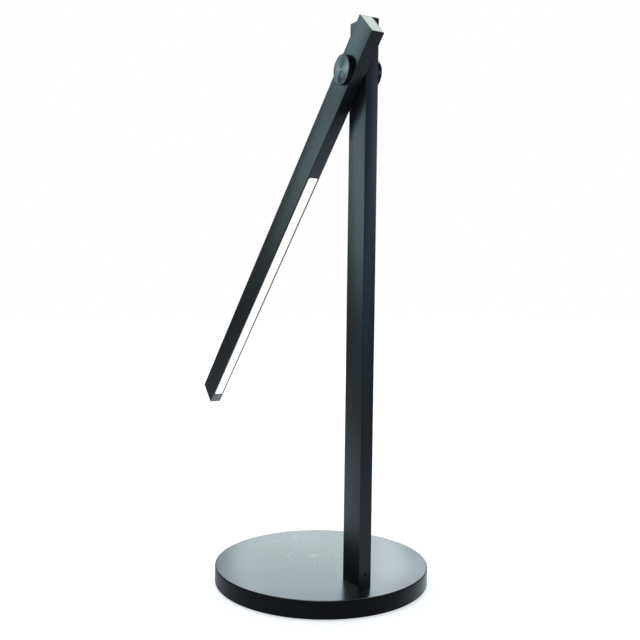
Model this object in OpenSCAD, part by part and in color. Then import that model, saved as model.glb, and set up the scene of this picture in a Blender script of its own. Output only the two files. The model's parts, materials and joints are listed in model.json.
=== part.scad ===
// Folding LED desk lamp: a round weighted base with a wireless charging spot, a flat upright post,
// and a flat light arm that folds beside the post on one horizontal friction hinge.
// Millimetres. Origin: centre of the base underside. +Z up, -Y is the user's side, the arm sits on +X.

/* [Base] */
// Outside diameter of the base
base_d = 180; // [170:1:200]
// Height of the base, its foam pad included
base_h = 15.5; // [15.5:0.1:18]
// Thickness of the base cover's side wall
cover_wall = 2.4; // [2:0.1:3]
// Thickness of the base cover's top
cover_top = 2.2; // [2:0.1:2.4]
// Thickness of the foam pad under the base
pad_t = 1; // [0.8:0.1:1]
// Diameter of the steel weight
weight_d = 150; // [140:1:150]
// Thickness of the steel weight
weight_t = 5; // [4:0.1:5]
// Distance from the base centre to the charging spot, towards the user
charge_y = 15; // [5:1:20]
// Distance between the two touch keys
key_pitch = 22; // [18:1:30]
// Distance from the base centre to the touch keys, towards the user
key_y = 67; // [64:1:68]

/* [Post] */
// Width of both bars, seen from the front
bar_w = 11; // [11:0.1:13]
// Depth of both bars, seen from the side
bar_d = 24; // [24:0.5:28]
// Radius along the bars' long edges
bar_edge_r = 0.8; // [0.4:0.1:1]
// Distance from the base centre back to the post
post_y = 56; // [50:1:56]
// Height of the post's top above the table
post_top = 456; // [400:1:500]
// Wall thickness of the post
post_wall = 1.5; // [1.2:0.1:1.5]

/* [Hinge] */
// Distance from the post's top down to the hinge axis
hinge_drop = 40; // [36:1:50]
// Diameter of the hinge axle
axle_d = 8; // [7.5:0.1:8]
// Gap between post and arm, filled by the friction washer
side_gap = 0.5; // [0.4:0.1:0.8]
// Diameter of the two round hinge covers
knob_d = 23; // [22:0.5:24]
// Thickness of the two round hinge covers
knob_t = 3.8; // [3.6:0.1:4.4]
// Angle of the arm from hanging straight down
arm_tilt = 44; // [0:1:180]

/* [Arm] */
// Length of the arm below the hinge axis
arm_reach = 390; // [388:1:400]
// Length of the arm's stub above the hinge axis
arm_stub = 40; // [36:1:44]
// Wall thickness of the arm's sides and back
arm_wall = 1.2; // [1.1:0.1:1.3]
// Thickness of the arm's light side, and of the diffuser in it
light_wall = 2; // [1.8:0.1:2.2]
// Distance from the hinge axis to the start of the light window
window_start = 94; // [90:0.5:120]
// Distance from the hinge axis to the end of the light window
window_end = 377.5; // [300:0.5:377.5]
// Width of the light window
window_w = 9.4; // [9:0.1:9.4]
// Number of light-emitting chips
chip_count = 36; // [12:1:48]

/* [Hidden] */
$fn = 96;
cut = 1;          // how far a cutting shape runs past a face
slip = 0.05;      // gap round a part that is pushed into another
run_fit = 0.03;   // radial gap of the axle in its bearing

// Base heights, from the table up
base_r = base_d / 2;
cover_in_r = base_r - cover_wall;
cover_in_z = base_h - cover_top;
plate_t = 2;
plate_z = pad_t;
weight_z = plate_z + plate_t;
weight_top = weight_z + weight_t;
cover_edge_r = 1;

// Screws that hold the base plate to the cover
boss_count = 6;
boss_pcd_r = base_r - 8.5;
boss_r = 4;
screw_r = 1.5;
screw_head_r = 2.9;
screw_len = 9;

// Power socket in the side of the base, on -X
jack_w = 9;
jack_len = 14;
jack_h = min(9.9, cover_in_z - weight_z - 0.3);
jack_z = weight_z + 0.1 + jack_h / 2;
jack_face_x = -base_r + cover_wall + 1;
jack_hole_r = 4.8;
socket_r = 3;
socket_deep = 9.5;
socket_pin_r = 1;

// Charging coil and its tray
coil_out_r = 21.5;
coil_in_r = 11;
coil_t = 1.2;
coil_turns = 9;
ferrite_w = 45;
ferrite_t = 0.8;
tray_r = 33;
coil_z = cover_in_z - 0.1 - coil_t;
ferrite_z = coil_z - ferrite_t;
tray_leg_h = 1;

// Boards
board_t = 1.6;
spacer_h = 1.5;
spacer_r = 2;
board_z = weight_top + spacer_h;
control_at = [-51, 12];
control_size = [34, 34];
charger_at = [54, 4];
charger_size = [34, 36];
touch_t = 1;
electrode_t = 0.3;
electrode_r = 5;

// Post and its two bolts
post_in_w = bar_w - 2 * post_wall;
post_in_d = bar_d - 2 * post_wall;
foot_h = 20;
bolt_r = 2;
bolt_pitch = 14;
bolt_top = base_h + 6;
seat_deep = 0.5;  // how deep the post's foot stands in the cover
seat_gap = 0.1;
seat_z = base_h - seat_deep;
bolt_head_r = 3.6;
bolt_head_h = 3;
lead_r = 0.9;
thin_lead_r = 0.7;
lead_sides = 10;
lead_hole_r = 1.6;
post_boss = [24, 34];
set_screw_z = base_h + 9.2;
set_screw_r = 1.5;
cap_t = 1.5;
plug_h = 8;
hair = 0.15;      // visible hairline round an end cap

// Hinge, along X
hinge_z = post_top - hinge_drop;
axle_r = axle_d / 2;
bore_r = axle_r + run_fit;
wall_hole_r = axle_r + 0.08;
hollow_r = 2.2;
block_h = 36;
pocket_w = 3.2;
pocket_r = 6.5;
head_r = 7;
head_t = 1.8;
nut_r = 6;
nut_t = 2.2;
spring_t = 0.6;
washer_r = 10;
stop_r = 1;
stop_at = 7.2;
stop_gap = 0.3;
knob_top = 0.8;

// Arm, in its own frame: hanging straight down from the hinge axis, light side on +Y
arm_x0 = bar_w / 2 + side_gap;
arm_x1 = arm_x0 + bar_w;
arm_x = (arm_x0 + arm_x1) / 2;
arm_in_w = bar_w - 2 * arm_wall;
arm_in_y0 = -bar_d / 2 + arm_wall;
arm_in_y1 = bar_d / 2 - light_wall;
arm_in_d = arm_in_y1 - arm_in_y0;
arm_in_y = (arm_in_y0 + arm_in_y1) / 2;
window_len = window_end - window_start;
window_mid = -(window_start + window_end) / 2;
window_r = 1.5;
rail_w = arm_in_w - 0.4;
rail_t = 3;
rail_y = 0;
rail_leg = 1.2;
rail_lip = 4;
reflector_t = 0.5;
led_board_w = rail_w - 2 * reflector_t - 0.2;
led_board_t = 1;
led_board_y = rail_y + rail_t;
solder_end = 6;
chip = [3.5, 0.8, 2.8];

// ---------- shared shapes ----------

// A flat rectangle with round corners, centred
module round_rect(w, d, r) {
    square([w - 2 * r, d], center = true);
    square([w, d - 2 * r], center = true);
    for (sx = [-1, 1], sy = [-1, 1])
        translate([sx * (w / 2 - r), sy * (d / 2 - r)]) circle(r);
}

// A cylinder along X from x0 to x1
module rod_x(r, x0, x1) {
    translate([x0, 0, 0]) rotate([0, 90, 0]) cylinder(r = r, h = x1 - x0);
}

// A round disc along X whose outer edge, at x1, has a small bevel
module bevel_disc_x(r, x0, x1, bevel) {
    rotate([0, 90, 0]) rotate_extrude() polygon([
        [0, x0], [r, x0], [r, x1 - bevel], [r - bevel, x1], [0, x1]
    ]);
}

// A block centred on x and y that stands from z0 up to z1
module block(w, d, z0, z1) {
    translate([-w / 2, -d / 2, z0]) cube([w, d, z1 - z0]);
}

function unit(v) = v / norm(v);

// Direction of a path at its point i: along the bisector of the two stretches that meet there
function way(points, i) = unit(
    (i < len(points) - 1 ? unit(points[i + 1] - points[i]) : [0, 0, 0])
    + (i > 0 ? unit(points[i] - points[i - 1]) : [0, 0, 0])
);

// An insulated lead swept through a list of points; side is any vector that is never along the path
module lead(points, r, side = [0, 0, 1]) {
    n = lead_sides;
    last = len(points) - 1;
    rings = [
        for (i = [0 : last])
            let (t = way(points, i), u = unit(cross(side, t)), v = cross(t, u))
                for (k = [0 : n - 1])
                    points[i] + r * (cos(360 * k / n) * u + sin(360 * k / n) * v)
    ];
    walls = [
        for (i = [0 : last - 1], k = [0 : n - 1])
            [i * n + k, (i + 1) * n + k, (i + 1) * n + (k + 1) % n, i * n + (k + 1) % n]
    ];
    polyhedron(rings, concat(
        [[for (k = [0 : n - 1]) k]], walls, [[for (k = [n - 1 : -1 : 0]) last * n + k]]
    ));
}

// The places of the six base screws
module at_bosses() {
    for (i = [0 : boss_count - 1])
        rotate(30 + i * 360 / boss_count) translate([boss_pcd_r, 0, 0]) children();
}

// The places of the two post bolts
module at_bolts() {
    for (s = [-1, 1]) translate([0, post_y + s * bolt_pitch / 2, 0]) children();
}

// From the hinge frame to the lamp: parts that stay with the post
module at_hinge() {
    translate([0, post_y, hinge_z]) children();
}

// From the arm's own frame to the lamp: parts that swing with the arm
module at_arm() {
    translate([0, post_y, hinge_z]) rotate([-arm_tilt, 0, 0]) children();
}

// The four corners of a board, drawn in from its edges
module at_board_corners(at, size) {
    for (sx = [-1, 1], sy = [-1, 1])
        translate([at[0] + sx * (size[0] / 2 - 3), at[1] + sy * (size[1] / 2 - 3), 0]) children();
}

// ---------- base ----------

// Foam sheet over the whole underside
module base_pad() {
    color([0.08, 0.08, 0.08]) cylinder(r = base_r - 3.5, h = pad_t, $fn = 180);
}

// Steel sheet that closes the base, countersunk for its screws
module base_plate() {
    color([0.25, 0.26, 0.27]) difference() {
        translate([0, 0, plate_z]) cylinder(r = cover_in_r - 0.2, h = plate_t, $fn = 180);
        at_bosses() {
            translate([0, 0, plate_z - cut]) cylinder(r = screw_r + slip, h = plate_t + 2 * cut);
            translate([0, 0, plate_z - 0.01])
                cylinder(r1 = screw_head_r + slip, r2 = screw_r + slip, h = 1.4 + slip);
        }
    }
}

// Cast weight, with a notch for the power socket and counterbores for the post bolts
module base_weight() {
    color([0.45, 0.46, 0.48]) difference() {
        translate([0, 0, weight_z]) cylinder(d = weight_d, h = weight_t, $fn = 180);
        translate([-weight_d / 2, 0, 0])
            block(2 * (jack_face_x + jack_len + weight_d / 2 + 6), jack_w + 4,
                  weight_z - cut, weight_top + cut);
        at_bolts() {
            translate([0, 0, weight_z - cut])
                cylinder(r = bolt_head_r + 0.4, h = bolt_head_h + 0.3 + cut);
            translate([0, 0, weight_z]) cylinder(r = bolt_r + 0.3, h = weight_t + cut);
        }
    }
}

// Moulded cover: top, side wall, screw bosses and the pad that carries the post
module base_cover() {
    color([0.06, 0.065, 0.07]) difference() {
        union() {
            difference() {
                rotate_extrude($fn = 180) {
                    translate([0, plate_z]) square([base_r - cover_edge_r, base_h - plate_z]);
                    translate([0, plate_z + cover_edge_r])
                        square([base_r, base_h - plate_z - 2 * cover_edge_r]);
                    for (z = [plate_z + cover_edge_r, base_h - cover_edge_r])
                        translate([base_r - cover_edge_r, z]) circle(cover_edge_r, $fn = 32);
                }
                translate([0, 0, plate_z - cut])
                    cylinder(r = cover_in_r, h = cover_in_z - plate_z + cut, $fn = 180);
            }
            at_bosses() translate([0, 0, weight_z]) cylinder(r = boss_r, h = cover_in_z - weight_z + 0.5);
            translate([0, post_y, 0])
                block(post_boss[0], post_boss[1], weight_top, cover_in_z + 0.5);
            translate([jack_face_x - 1, 0, 0])
                block(2, jack_w + 8, weight_z, cover_in_z + 0.5);
        }
        at_bosses() translate([0, 0, weight_z - cut])
            cylinder(r = screw_r + slip, h = screw_len - plate_t + cut + 0.3);
        at_bolts() translate([0, 0, weight_top - cut])
            cylinder(r = bolt_r + 0.2, h = base_h - weight_top + 2 * cut);
        translate([0, post_y, weight_top - cut])
            cylinder(r = lead_hole_r, h = base_h - weight_top + 2 * cut);
        translate([-post_boss[0] / 4 - cut / 2, post_y, 0])
            block(post_boss[0] / 2 + cut, 2 * lead_hole_r, weight_top - cut, weight_top + 4);
        translate([0, post_y, seat_z]) linear_extrude(seat_deep + cut)
            round_rect(bar_w + 2 * seat_gap, bar_d + 2 * seat_gap, bar_edge_r + seat_gap);
        translate([-base_r - cut, 0, jack_z]) rod_x(jack_hole_r, 0, cover_wall + 3 + 2 * cut);
    }
}

// Six countersunk screws, heads hidden above the foam pad
module base_screws() {
    color("silver") at_bosses() difference() {
        union() {
            translate([0, 0, plate_z + 0.1]) cylinder(r = screw_r, h = screw_len - 0.1);
            translate([0, 0, plate_z + 0.1]) cylinder(r1 = screw_head_r - 0.1, r2 = screw_r, h = 1.3);
        }
        for (turn = [0, 90]) rotate(turn) block(2.6, 0.6, plate_z, plate_z + 1);
    }
}

// Barrel power socket, its face just inside the base wall
module dc_jack() {
    color([0.1, 0.1, 0.1]) translate([jack_face_x, 0, jack_z]) {
        difference() {
            translate([0, -jack_w / 2, -jack_h / 2]) cube([jack_len, jack_w, jack_h]);
            rod_x(socket_r, -cut, socket_deep);
        }
        rod_x(socket_pin_r, 1, socket_deep + 1);
        for (y = [-2.5, 2.5]) translate([jack_len - cut, y - 0.5, -1.5]) cube([cut + 2, 1, 3]);
    }
}

// Flat charging coil, with a groove between its turns
module charging_coil() {
    pitch = (coil_out_r - coil_in_r) / coil_turns;
    color([0.72, 0.4, 0.2]) translate([0, -charge_y, coil_z]) rotate_extrude()
        difference() {
            translate([coil_in_r, 0]) square([coil_out_r - coil_in_r, coil_t]);
            for (i = [1 : coil_turns - 1])
                translate([coil_in_r + i * pitch - 0.1, coil_t - 0.3]) square([0.2, cut]);
        }
}

// Ferrite sheet under the coil
module ferrite_sheet() {
    color([0.2, 0.2, 0.22]) translate([0, -charge_y, 0])
        block(ferrite_w, ferrite_w, ferrite_z, ferrite_z + ferrite_t);
}

// Plastic tray that stands on the weight and holds coil and ferrite up against the cover
module coil_tray() {
    color([0.85, 0.85, 0.82]) translate([0, -charge_y, 0]) {
        difference() {
            translate([0, 0, weight_top + tray_leg_h])
                cylinder(r = tray_r, h = coil_z + coil_t - weight_top - tray_leg_h);
            block(ferrite_w + 0.4, ferrite_w + 0.4, ferrite_z, cover_in_z + cut);
            translate([0, 0, weight_top]) cylinder(r = coil_in_r - 2, h = cover_in_z);
        }
        for (a = [45 : 90 : 315]) rotate(a) translate([tray_r - 4, 0, weight_top])
            cylinder(r = 2.5, h = tray_leg_h + 0.5);
    }
}

// Board of the charging circuit
module charger_board() {
    color([0.1, 0.35, 0.2]) translate([charger_at[0], charger_at[1], 0]) {
        block(charger_size[0], charger_size[1], board_z, board_z + board_t);
        translate([-6, 2, 0]) block(7, 7, board_z + board_t - 0.1, board_z + board_t + 0.9);
        for (y = [-11, -5, 7]) translate([8, y, 0])
            block(5, 3, board_z + board_t - 0.1, board_z + board_t + 0.8);
    }
}

// Main board: power in, light driver and connectors
module control_board() {
    color([0.1, 0.35, 0.2]) translate([control_at[0], control_at[1], 0]) {
        block(control_size[0], control_size[1], board_z, board_z + board_t);
        translate([2, 0, 0]) block(6, 5, board_z + board_t - 0.1, board_z + board_t + 0.8);
        for (y = [-10, 8]) translate([-8, y, 0])
            block(5, 5, board_z + board_t - 0.1, board_z + board_t + 0.95);
    }
}

// Nylon spacers under the corners of the two boards
module board_spacers() {
    color([0.9, 0.9, 0.88]) {
        at_board_corners(control_at, control_size)
            translate([0, 0, weight_top]) cylinder(r = spacer_r, h = spacer_h);
        at_board_corners(charger_at, charger_size)
            translate([0, 0, weight_top]) cylinder(r = spacer_r, h = spacer_h);
    }
}

// Small board behind the two touch keys
module touch_board() {
    top = cover_in_z - electrode_t;
    color([0.1, 0.35, 0.2]) translate([0, -key_y, 0]) {
        block(key_pitch + 16, 14, top - touch_t, top);
        block(6, 4, top - touch_t - 3, top - touch_t + 0.1);
    }
}

// Copper pads that sense a finger through the cover
module touch_electrodes() {
    color([0.8, 0.5, 0.3]) for (s = [-1, 1])
        translate([s * key_pitch / 2, -key_y, cover_in_z - electrode_t])
            cylinder(r = electrode_r, h = electrode_t);
}

// Leads inside the base: socket to main board, and main board to charger and touch boards
module base_lead() {
    z = board_z + board_t + lead_r + 0.05;
    control_x0 = control_at[0] - control_size[0] / 2;
    control_x1 = control_at[0] + control_size[0] / 2;
    charger_x0 = charger_at[0] - charger_size[0] / 2;
    jack_back = jack_face_x + jack_len;
    touch_z = cover_in_z - 3;
    color([0.5, 0.1, 0.1]) {
        lead([[jack_back + slip, 0, jack_z], [jack_back + 3.3, 0, jack_z],
              [jack_back + 3.3, 0, z], [control_x0 + 4, 0, z]], thin_lead_r, [0, 1, 0]);
        lead([[control_x1 - 4, 19, z], [control_x1 + 6, 20, z], [charger_x0 - 6, 20, z],
              [charger_x0 + 4, 16, z]], lead_r);
        lead([[control_x1 - 4, -2, z], [control_x1 - 1, -4, z], [-38, 14 - key_y, touch_z],
              [-18, -key_y, touch_z], [-3 - slip, -key_y, touch_z]], thin_lead_r);
    }
}

// ---------- post ----------

// Square-cut rectangular tube, drilled for axle, stop slot and set screw
module post_tube() {
    color([0.13, 0.14, 0.15]) difference() {
        translate([0, post_y, seat_z]) linear_extrude(post_top - seat_z) difference() {
            round_rect(bar_w, bar_d, bar_edge_r);
            square([post_in_w, post_in_d], center = true);
        }
        at_hinge() {
            rod_x(wall_hole_r, -bar_w, bar_w);
            stop_slot();
        }
        translate([0, post_y, set_screw_z]) rotate([-90, 0, 0])
            cylinder(r = set_screw_r + slip, h = bar_d, $fn = 32);
    }
}

// Half-round slot in the +X wall in which the stop pin travels, from +Y under the axis to -Y
module stop_slot() {
    r = stop_r + stop_gap;
    translate([post_in_w / 2 - cut / 2, 0, 0]) rotate([90, 0, 90])
        linear_extrude(post_wall + cut) {
            difference() {
                circle(stop_at + r);
                circle(stop_at - r);
                translate([-2 * stop_at, 0]) square(4 * stop_at);
            }
            for (s = [-1, 1]) translate([s * stop_at, 0]) circle(r, $fn = 32);
        }
}

// Solid insert at the foot, tapped for the two bolts from below
module post_foot() {
    color([0.6, 0.6, 0.62]) difference() {
        translate([0, post_y, 0])
            block(post_in_w - 2 * slip, post_in_d - 2 * slip, seat_z, base_h + foot_h);
        at_bolts() translate([0, 0, seat_z - cut])
            cylinder(r = bolt_r + slip, h = bolt_top - seat_z + cut + 0.2);
        translate([0, post_y, seat_z - cut])
            cylinder(r = lead_hole_r, h = base_h + foot_h - seat_z + 2 * cut);
        translate([0, post_y + lead_hole_r + 2, set_screw_z]) rotate([-90, 0, 0])
            cylinder(r = set_screw_r + slip, h = bar_d, $fn = 32);
    }
}

// Two bolts that clamp cover and weight to the post
module post_bolts() {
    color("silver") at_bolts() difference() {
        union() {
            translate([0, 0, weight_z + 0.2]) cylinder(r = bolt_head_r, h = bolt_head_h);
            translate([0, 0, weight_z + 0.2]) cylinder(r = bolt_r, h = bolt_top - weight_z - 0.2);
        }
        translate([0, 0, weight_z - cut]) cylinder(r = 1.7, h = 1.8 + cut, $fn = 6);
    }
}

// Grub screw in the rear wall that locks the insert
module set_screw() {
    color([0.3, 0.3, 0.3]) translate([0, post_y, set_screw_z]) rotate([-90, 0, 0]) difference() {
        translate([0, 0, lead_hole_r + 2.2])
            cylinder(r = set_screw_r, h = bar_d / 2 - lead_hole_r - 2.6, $fn = 32);
        translate([0, 0, bar_d / 2 - 2]) cylinder(r = 0.8, h = 3, $fn = 6);
    }
}

// Plug that closes the post's top, flush with its end
module post_cap() {
    color([0.15, 0.16, 0.17]) translate([0, post_y, 0]) {
        block(post_in_w - 2 * hair, post_in_d - 2 * hair, post_top - cap_t, post_top - 0.1);
        difference() {
            block(post_in_w - 2 * slip, post_in_d - 2 * slip, post_top - plug_h, post_top - cap_t + 0.01);
            block(post_in_w - 2, post_in_d - 2, post_top - plug_h - cut, post_top - cap_t - 0.5);
        }
    }
}

// Bearing block inside the post, with a ring pocket in which the lead meets the axle
module post_hinge_block() {
    color([0.6, 0.6, 0.62]) at_hinge() difference() {
        block(post_in_w - 2 * slip, post_in_d - 2 * slip, -block_h / 2, block_h / 2);
        rod_x(bore_r, -bar_w, bar_w);
        rod_x(pocket_r, -pocket_w / 2, pocket_w / 2);
        translate([0, 0, -block_h / 2 - cut]) cylinder(r = lead_hole_r, h = block_h / 2);
    }
}

// Lead from the main board, through the foot and up the post to the axle
module post_lead() {
    z = board_z + board_t + lead_r + 0.05;
    control_x1 = control_at[0] + control_size[0] / 2;
    color([0.1, 0.1, 0.1]) lead([
        [control_x1 - 4, 25, z], [control_x1 + 4, 31, z],
        [-post_boss[0] / 2 - 4, post_y, weight_top + 1.6],
        [0, post_y, weight_top + 1.6], [0, post_y, hinge_z - axle_r - 0.5]
    ], lead_r, [0, 1, 0]);
}

// Round cover over the hinge nut, fixed to the post
module hinge_cover_post() {
    color([0.16, 0.16, 0.17]) at_hinge() mirror([1, 0, 0]) difference() {
        bevel_disc_x(knob_d / 2, bar_w / 2, bar_w / 2 + knob_t, 0.3);
        rod_x(nut_r + 0.4, bar_w / 2 - cut, bar_w / 2 + knob_t - knob_top);
    }
}

// ---------- hinge, turning with the arm ----------

// Hollow axle with its head on the arm side; the lead enters it in the post's pocket
module hinge_axle() {
    nut_end = -bar_w / 2 - spring_t - nut_t;
    color([0.7, 0.7, 0.72]) at_arm() difference() {
        union() {
            rod_x(axle_r, nut_end, arm_x1 + head_t);
            rod_x(head_r, arm_x1, arm_x1 + head_t);
        }
        rod_x(hollow_r, -pocket_w / 2, arm_x + hollow_r);
        translate([0, 0, -axle_r - cut]) cylinder(r = hollow_r / 2 + 0.4, h = axle_r + cut, $fn = 32);
        translate([arm_x, 0, -axle_r - cut]) cylinder(r = lead_hole_r, h = axle_r + cut, $fn = 32);
    }
}

// Thin round nut that loads the hinge
module hinge_nut() {
    color("silver") at_arm() difference() {
        rod_x(nut_r, -bar_w / 2 - spring_t - nut_t, -bar_w / 2 - spring_t);
        rod_x(axle_r + slip, -bar_w, 0);
        for (a = [0 : 90 : 270]) rotate([a, 0, 0])
            translate([-bar_w / 2 - spring_t - nut_t - cut, -0.8, nut_r - 0.8]) cube([1 + cut, 1.6, 2]);
    }
}

// Slightly coned spring washer between nut and post
module spring_washer() {
    color([0.5, 0.5, 0.52]) at_arm() rotate([0, -90, 0]) rotate_extrude() polygon([
        [axle_r + 0.1, bar_w / 2 + 0.2], [nut_r - 0.2, bar_w / 2 + 0.02],
        [nut_r - 0.2, bar_w / 2 + spring_t - 0.2], [axle_r + 0.1, bar_w / 2 + spring_t - 0.02]
    ]);
}

// Friction washer between post and arm
module friction_washer() {
    color([0.2, 0.2, 0.2]) at_arm() difference() {
        rod_x(washer_r, bar_w / 2 + 0.02, arm_x0);
        rod_x(axle_r + slip, 0, bar_w);
        translate([0, stop_at, 0]) rod_x(stop_r + slip, 0, bar_w);
    }
}

// Pin in the arm's inner wall that stops the arm at both ends of its half turn
module stop_pin() {
    color("silver") at_arm() translate([0, stop_at, 0])
        rod_x(stop_r, post_in_w / 2 + 0.2, arm_x0 + arm_wall);
}

// Round cover over the axle head, fixed to the arm
module hinge_cover_arm() {
    color([0.16, 0.16, 0.17]) at_arm() difference() {
        bevel_disc_x(knob_d / 2, arm_x1, arm_x1 + knob_t, 0.3);
        rod_x(head_r + 0.1, arm_x1 - cut, arm_x1 + knob_t - knob_top);
    }
}

// ---------- arm ----------

// Rectangular tube with the light window in its +Y side
module arm_channel() {
    color([0.13, 0.14, 0.15]) at_arm() difference() {
        translate([arm_x, 0, -arm_reach]) linear_extrude(arm_reach + arm_stub) difference() {
            round_rect(bar_w, bar_d, bar_edge_r);
            translate([0, arm_in_y]) square([arm_in_w, arm_in_d], center = true);
        }
        translate([arm_x, arm_in_y1 - 0.01, window_mid]) rotate([-90, 0, 0])
            linear_extrude(light_wall + cut) round_rect(window_w, window_len, window_r);
        rod_x(bore_r, 0, arm_x1 + cut);
        translate([0, stop_at, 0]) rod_x(stop_r + slip, 0, arm_x);
    }
}

// Block inside the arm that grips the axle, with a way out for the lead
module arm_hinge_block() {
    color([0.6, 0.6, 0.62]) at_arm() difference() {
        translate([arm_x, arm_in_y, 0])
            block(arm_in_w - 2 * slip, arm_in_d - 2 * slip, -block_h / 2, block_h / 2);
        rod_x(bore_r, 0, arm_x1);
        translate([arm_x, 0, -block_h / 2 - cut]) cylinder(r = lead_hole_r, h = block_h / 2, $fn = 32);
    }
}

// An end plug of the arm: its flush face at z, its skirt reaching the other way by side
module arm_plug(z, side) {
    face = z - side * 0.1;
    inner = z - side * cap_t;
    skirt = z - side * plug_h;
    translate([arm_x, arm_in_y, 0]) {
        block(arm_in_w - 2 * hair, arm_in_d - 2 * hair, min(face, inner), max(face, inner));
        difference() {
            block(arm_in_w - 2 * slip, arm_in_d - 2 * slip, min(inner, skirt), max(inner, skirt));
            block(arm_in_w - 2, arm_in_d - 2, min(inner - side * 0.5, skirt - side * cut),
                  max(inner - side * 0.5, skirt - side * cut));
        }
    }
}

// Plug in the arm's upper end
module arm_top_cap() {
    color([0.2, 0.21, 0.22]) at_arm() arm_plug(arm_stub, 1);
}

// Plug in the arm's free end
module arm_tip_cap() {
    color([0.2, 0.21, 0.22]) at_arm() arm_plug(-arm_reach, -1);
}

// Aluminium U rail that stands on the arm's back wall, carries the light board and takes its heat
module led_rail() {
    z0 = -window_end - 1;
    z1 = -window_start + solder_end + rail_lip;
    back_y = arm_in_y0 + slip;
    color([0.75, 0.76, 0.78]) at_arm() difference() {
        translate([arm_x, (back_y + rail_y + rail_t) / 2, 0])
            block(rail_w, rail_y + rail_t - back_y, z0, z1);
        translate([arm_x, (back_y + rail_y - cut) / 2, 0])
            block(rail_w - 2 * rail_leg, rail_y - back_y + cut, z0 - cut, z1 + cut);
    }
}

// Long circuit board on the rail
module led_board() {
    color([0.95, 0.95, 0.93]) at_arm() translate([arm_x, led_board_y + led_board_t / 2, 0])
        block(led_board_w, led_board_t, -window_end, -window_start + solder_end);
}

// Row of light-emitting chips
module led_chips() {
    pitch = (window_len - 8) / (chip_count - 1);
    color([0.95, 0.85, 0.35]) at_arm() for (i = [0 : chip_count - 1])
        translate([arm_x, led_board_y + led_board_t + chip[1] / 2, -window_start - 4 - i * pitch])
            block(chip[0], chip[1], -chip[2] / 2, chip[2] / 2);
}

// White frame that lines the light box between rail and diffuser
module reflector() {
    out_w = rail_w;
    top = arm_in_y1 - 0.1;
    mid_y = (led_board_y + top) / 2;
    color([0.97, 0.97, 0.97]) at_arm() translate([arm_x, mid_y, 0]) difference() {
        block(out_w, top - led_board_y, -window_end - 0.5, -window_start + 0.5);
        block(out_w - 2 * reflector_t, top - led_board_y + cut, -window_end, -window_start - 0.5);
        translate([0, -(top - led_board_y) / 2 + led_board_t / 2, 0])
            block(led_board_w + 0.1, led_board_t + 0.1, -window_end - 1, cut);
    }
}

// Opal strip that closes the light window
module diffuser() {
    color([1, 0.99, 0.94]) at_arm() translate([arm_x, arm_in_y1, window_mid]) rotate([-90, 0, 0])
        linear_extrude(light_wall - slip)
            round_rect(window_w - 2 * slip, window_len - 2 * slip, window_r - slip);
}

// Lead through the axle and down the arm to the light board
module arm_lead() {
    board_end = -window_start + solder_end;
    over_board = led_board_y + led_board_t + thin_lead_r + 0.15;
    color([0.1, 0.1, 0.1]) at_arm() lead([
        [pocket_w / 2 - 1, 0, 0], [arm_x, 0, 0], [arm_x, 0, board_end + rail_lip + 12],
        [arm_x, over_board, board_end + rail_lip + 3], [arm_x, over_board, board_end - 3]
    ], thin_lead_r, [0, 1, 0]);
}

base_pad();
base_plate();
base_weight();
base_cover();
base_screws();
dc_jack();
charging_coil();
ferrite_sheet();
coil_tray();
charger_board();
control_board();
board_spacers();
touch_board();
touch_electrodes();
base_lead();
post_tube();
post_foot();
post_bolts();
set_screw();
post_cap();
post_hinge_block();
post_lead();
hinge_cover_post();
hinge_axle();
hinge_nut();
spring_washer();
friction_washer();
stop_pin();
hinge_cover_arm();
arm_channel();
arm_hinge_block();
arm_top_cap();
arm_tip_cap();
led_rail();
led_board();
led_chips();
reflector();
diffuser();
arm_lead();
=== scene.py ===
# %% [markdown]
# # A folding desk lamp, dressed from its CAD model
# The lamp's sizes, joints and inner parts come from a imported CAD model. This script gives every part its
# finish. Where a sharp CAD solid would look too perfect, it builds a piece with eased edges in its place.
# Everything is in metres, in the lamp's own frame: +Z is up, -Y is the user's side, and the light arm sits
# on the +X side of the post.

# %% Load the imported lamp
import json
import math

import bmesh
import bpy
from mathutils import Matrix, Vector


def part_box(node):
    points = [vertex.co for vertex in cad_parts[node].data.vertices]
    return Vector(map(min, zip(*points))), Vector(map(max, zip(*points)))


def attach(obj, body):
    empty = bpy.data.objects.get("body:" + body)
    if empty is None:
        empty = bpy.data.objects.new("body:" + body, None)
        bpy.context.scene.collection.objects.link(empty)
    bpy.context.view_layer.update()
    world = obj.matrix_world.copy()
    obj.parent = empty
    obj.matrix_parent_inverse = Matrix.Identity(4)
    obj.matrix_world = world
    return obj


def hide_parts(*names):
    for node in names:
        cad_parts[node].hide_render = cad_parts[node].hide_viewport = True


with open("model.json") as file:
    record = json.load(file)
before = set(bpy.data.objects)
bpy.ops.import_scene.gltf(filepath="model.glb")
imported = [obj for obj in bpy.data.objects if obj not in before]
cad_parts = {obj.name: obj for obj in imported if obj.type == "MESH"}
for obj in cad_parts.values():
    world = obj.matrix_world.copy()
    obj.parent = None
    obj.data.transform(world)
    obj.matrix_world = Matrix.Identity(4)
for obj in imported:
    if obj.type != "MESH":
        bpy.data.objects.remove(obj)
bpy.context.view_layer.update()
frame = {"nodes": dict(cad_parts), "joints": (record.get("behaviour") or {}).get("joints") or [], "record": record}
MM = 0.001

# %% [markdown]
# ## Where things are
# The frame knows the hinge and the box of every part, so no place is typed twice. The arm leans, and its
# direction is the line from its upper plug to its tip plug. In the arm's own frame it hangs straight down
# and its light faces +Y. Pieces of the arm are built there and turned once.

# %% The hinge and the arm's own frame
pivot = Vector(frame["joints"][0]["pos_m"])


def middle(node):
    low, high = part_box(node)
    return (low + high) / 2


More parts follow.
